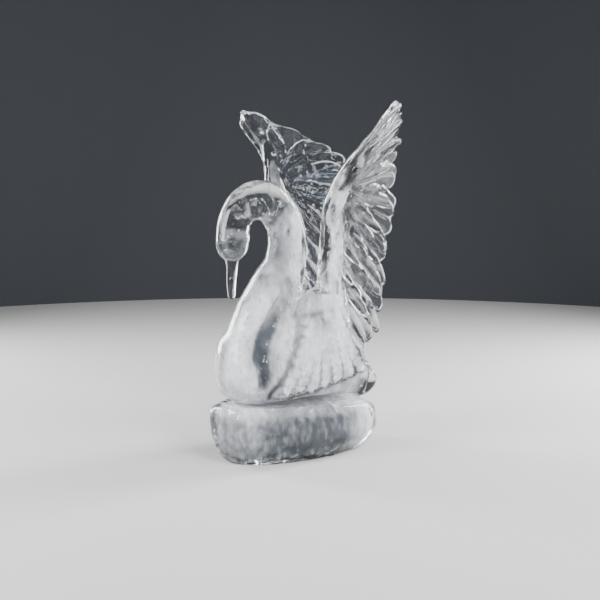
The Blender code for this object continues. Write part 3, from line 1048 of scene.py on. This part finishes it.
def build_tip_rims(name, side, strength, material):
    """The white lines inside the tips of a wing's flight feathers, painted rim highlights."""
    bm = bmesh.new()
    layers = sheet_layers(bm)
    for number, feather in enumerate(flight_feathers()):
        add_tip_rim(bm, layers, side, feather, strength * (0.70 + 0.30 * uneven(number, 2.0)))
    return smooth_piece(name, bm, material)


def inside_body(rng):
    """A chance point inside the body."""
    row = along(BODY, rng.uniform(0.15, 0.85))
    angle, reach = rng.uniform(0, 2 * math.pi), 0.75 * math.sqrt(rng.random())
    return Vector((row[2] * reach * math.cos(angle), row[0], row[1] + row[3] * reach * math.sin(angle)))


def inside_neck(rng, low, high):
    """A chance point inside the neck, between these shares of its length."""
    y, z, across, depth = along(NECK, rng.uniform(low, high))
    angle, reach = rng.uniform(0, 2 * math.pi), 0.7 * math.sqrt(rng.random())
    return Vector((across * reach * math.cos(angle), y + depth * reach * math.sin(angle), z))


def inside_seam(rng):
    """A chance point in the dark seam of the breast, on either side."""
    z = rng.uniform(0.22, 0.46)
    across = np.interp(z, (0.2, 0.35, 0.46), (0.082, 0.080, 0.050))
    x = rng.choice((1, -1)) * across * rng.uniform(0.85, 1.0)
    return Vector((x, seam_front(z) + rng.gauss(0, 0.009), z))


def bubble_spots(rng):
    """Centres and radii of the air bubbles."""
    spots = [inside_seam(rng) for _ in range(30)]
    spots += [inside_body(rng) for _ in range(30)]
    spots += [inside_neck(rng, 0.3, 0.85) for _ in range(40)]
    sized = [(spot, rng.choice((0.0010, 0.0013, 0.0018, 0.0026))) for spot in spots]
    beads = [wing_point(y, z, 0.0, -1) for y, z in RIGHT_BEADS]
    beads.append(wing_point(*LEFT_BEAD, 0.0, 1))
    return [*sized, *((bead, BEAD_RADIUS) for bead in beads), RING_BUBBLE]


def add_ball(bm, spot, radius, tall, fineness):
    """A ball drawn out upwards to this many times its width."""
    made = bmesh.ops.create_icosphere(bm, subdivisions=fineness, radius=radius)
    for vertex in made["verts"]:
        vertex.co = vertex.co * Vector((1, 1, tall)) + spot


def build_bubbles(material):
    """Round cavities, so their skins face inward."""
    bm = bmesh.new()
    for spot, radius in bubble_spots(random.Random(11)):
        small = radius < LARGE_BUBBLE
        add_ball(bm, spot, radius, 1.5 if small else 1.0, 2 if small else 3)
    bmesh.ops.reverse_faces(bm, faces=bm.faces)
    return smooth_piece("air_bubbles", bm, material)


def build_flecks(material):
    """Specks of white air in the dark seam of the breast and in the clear wing."""
    rng = random.Random(4)
    spots = [inside_seam(rng) for _ in range(70)]
    spots += [wing_point(rng.uniform(0.05, 0.15), rng.uniform(0.60, 0.77), 0.0, -1) for _ in range(40)]
    bm = bmesh.new()
    for spot in spots:
        add_ball(bm, spot, rng.choice((0.0008, 0.0011, 0.0018)), 1.4, 2)
    piece = smooth_piece("white_flecks", bm, material)
    set_readings(piece.data, lambda point: (1.0, 1.0))
    return piece


# ---- studio -------------------------------------------------------------------------------------
VIEW_AZIMUTH = 50.0
VIEW_ELEVATION = 7.0
VIEW_DISTANCE = 3.0
VIEW_WIDTH = 1.65
LIGHT_DISTANCE = 2.6
FLOOR_RADIUS = 3.5
FLOOR_COLOUR = (0.25, 0.25, 0.25, 1)
WALL_HEIGHT = 3.0
BACKDROP_COLOUR = (0.021, 0.0225, 0.0256, 1)


def around(azimuth, elevation):
    """The unit vector towards this azimuth and elevation in degrees, azimuth 0 in front of the swan."""
    a, e = math.radians(azimuth), math.radians(elevation)
    return Vector((math.sin(a) * math.cos(e), -math.cos(a) * math.cos(e), math.sin(e)))


def add_camera():
    """The camera, in front of the swan and to its left."""
    camera = bpy.data.cameras.new("camera")
    camera.sensor_width = 36.0
    camera.lens = camera.sensor_width * VIEW_DISTANCE / VIEW_WIDTH
    holder = bpy.data.objects.new("camera", camera)
    aim = Vector((0.002, 0.002, 0.4405 * HEIGHT))
    back = around(VIEW_AZIMUTH, VIEW_ELEVATION)
    holder.location = aim + back * VIEW_DISTANCE
    holder.rotation_mode = "QUATERNION"
    holder.rotation_quaternion = back.to_track_quat("Z", "Y")
    bpy.context.scene.collection.objects.link(holder)
    bpy.context.scene.camera = holder


def add_softbox(name, azimuth, elevation, width, height, power):
    """A soft white light of this size that faces the swan's middle from this azimuth and elevation."""
    light = bpy.data.lights.new(name, "AREA")
    light.shape = "RECTANGLE"
    light.size, light.size_y = width, height
    light.energy = power
    holder = bpy.data.objects.new(name, light)
    middle = Vector((0, 0, 0.5 * HEIGHT))
    holder.location = middle + around(azimuth, elevation) * LIGHT_DISTANCE
    holder.rotation_mode = "QUATERNION"
    holder.rotation_quaternion = around(azimuth, elevation).to_track_quat("Z", "Y")
    holder.visible_camera = False
    bpy.context.scene.collection.objects.link(holder)
    return holder


def plain_material(name, colour):
    """A matt surface of one even colour."""
    material, _, _, shader = node_material(name)
    shader.inputs["Base Color"].default_value = colour
    shader.inputs["Roughness"].default_value = 0.9
    shader.inputs["Specular IOR Level"].default_value = 0.1
    return material


def add_round(name, profile, material):
    """A surface turned round the Z axis from rows of radius and height, which isn't part of the object."""
    bm = bmesh.new()
    corners = [bm.verts.new((radius, 0, z)) for radius, z in profile]
    edges = [bm.edges.new(pair) for pair in zip(corners, corners[1:])]
    turn = {"cent": (0, 0, 0), "axis": (0, 0, 1), "angle": 2 * math.pi}
    bmesh.ops.spin(bm, geom=[*corners, *edges], steps=96, use_merge=True, **turn)
    bmesh.ops.remove_doubles(bm, verts=bm.verts, dist=1e-5)
    made = new_piece(name, bm, material)
    made.location.z = -0.0005


def add_stage():
    """A plain pale floor, and a slate backdrop that stands all round at its edge."""
    floor = [(0, 0), (1, 0), (FLOOR_RADIUS, 0)]
    wall = [(FLOOR_RADIUS, 0), (FLOOR_RADIUS, WALL_HEIGHT)]
    add_round("studio_floor", floor, plain_material("pale_floor", FLOOR_COLOUR))
    add_round("backdrop", wall, plain_material("slate_backdrop", BACKDROP_COLOUR))


def add_world():
    """Dim bluish air, brighter overhead."""
    world = bpy.data.worlds.new("studio_air")
    world.use_nodes = True
    nodes, links = world.node_tree.nodes, world.node_tree.links
    coordinates = nodes.new("ShaderNodeTexCoord")
    parts = nodes.new("ShaderNodeSeparateXYZ")
    spread = nodes.new("ShaderNodeMapRange")
    spread.interpolation_type = "SMOOTHSTEP"
    spread.inputs["From Min"].default_value = 0.25
    spread.inputs["From Max"].default_value = 1.0
    spread.inputs["To Min"].default_value = 0.10
    spread.inputs["To Max"].default_value = 0.16
    links.new(coordinates.outputs["Generated"], parts.inputs["Vector"])
    links.new(parts.outputs["Z"], spread.inputs["Value"])
    links.new(spread.outputs["Result"], nodes["Background"].inputs["Strength"])
    nodes["Background"].inputs["Color"].default_value = (0.80, 0.88, 1.0, 1)
    bpy.context.scene.world = world


def add_lights():
    """Soft boxes, each turned this far from the camera's line, and whether the ice mirrors it.

    A high key box and two tall ones light the swan from the camera's side, two tall ones and a thin strip
    brighten its rims from behind, and a dim one hangs overhead. The boxes that the ice doesn't mirror
    still light it.
    """
    for name, turn, elevation, width, height, power, mirrored in (
        ("front_left_box", -58, 18, 1.0, 2.0, 210, True),
        ("key_box", 32, 46, 0.9, 0.9, 160, False),
        ("front_right_box", 66, 18, 0.9, 2.0, 110, False),
        ("rim_left_box", -122, 18, 0.7, 2.0, 200, True),
        ("rim_right_box", 118, 18, 0.8, 2.0, 300, False),
        ("edge_strip", 124, 18, 0.2, 1.8, 80, True),
        ("top_box", 0, 86, 1.8, 1.8, 15, False),
    ):
        box = add_softbox(name, VIEW_AZIMUTH + turn, elevation, width, height, power)
        box.visible_glossy = mirrored


# ---- make it ------------------------------------------------------------------------------------
add_camera()
ice = ice_material()
swan = build_swan(ice)
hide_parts("ice_swan")
painted_shade_air = milk_and_painted_shade_material("trapped_air_and_painted_shade", WHITE, "milk", "Object", 110.0, (1, 1, 0.30), -0.10, 0.50)
wisps = milk_and_painted_shade_material("wisps_of_air", WHITE, "cover", "Object", 70.0, (1, 1, 0.5), 0.40, 0.64)
blotches = milk_and_painted_shade_material("covert_air", WHITE, "cover", "Object", 42.0, (1, 1, 0.6), 0.46, 0.66)
# Partly painted highlight: the white streaks along the flight feathers are air and also stand in for streaky
# highlights.
streak_air_and_highlights = milk_and_painted_shade_material("feather_air_and_painted_highlight", WHITE, "cover", "UV", 2.0, (1.0, 0.30, 1), 0.42, 0.66)
faint_painted_sheen = milk_and_painted_shade_material("faint_feather_air_painted_sheen", PAINTED_SHEEN_BLUE, "cover", "UV", 3.2, (1.0, 0.22, 1), 0.54, 0.70)
rim_highlight_air = milk_and_painted_shade_material("tip_air_painted_rim", WHITE, "cover", "Object", 60.0, (1, 1, 1), 0.38, 0.50)
near_coverts = [*covert_feathers(0.006), *lesser_coverts(0.010)]
for piece in (
    swan,
    build_heart(painted_shade_air),
    build_veil(wisps),
    build_base_cloud("base_heart", 0.84, 0.010, base_milk_and_painted_shade, painted_shade_air),
    # Frost along the footing's edges, partly a painted rim highlight.
    build_base_cloud("base_frost_and_painted_rim", 0.950, 0.003, base_frost_and_painted_rim, wisps),
    # White air along the left wing's feathers, partly painted streak highlights.
    build_streaks("left_wing_streaks", 1, 0.64, -0.55, flight_feathers(), streak_air_and_highlights),
    build_streaks("left_covert_blotches", 1, 0.36, -0.30, near_coverts, blotches),
    # Faint streaks of air in the right wing, with a painted bluish sheen.
    build_streaks("right_wing_streaks", -1, 0.50, -0.55, flight_feathers(), faint_painted_sheen),
    # Painted rim highlights at the feather tips.
    build_tip_rims("left_tip_painted_rim", 1, 1.0, rim_highlight_air),
    build_tip_rims("right_tip_painted_rim", -1, 0.7, rim_highlight_air),
    build_bubbles(ice),
    build_flecks(painted_shade_air),
):
    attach(piece, "root")
add_stage()
add_world()
add_lights()
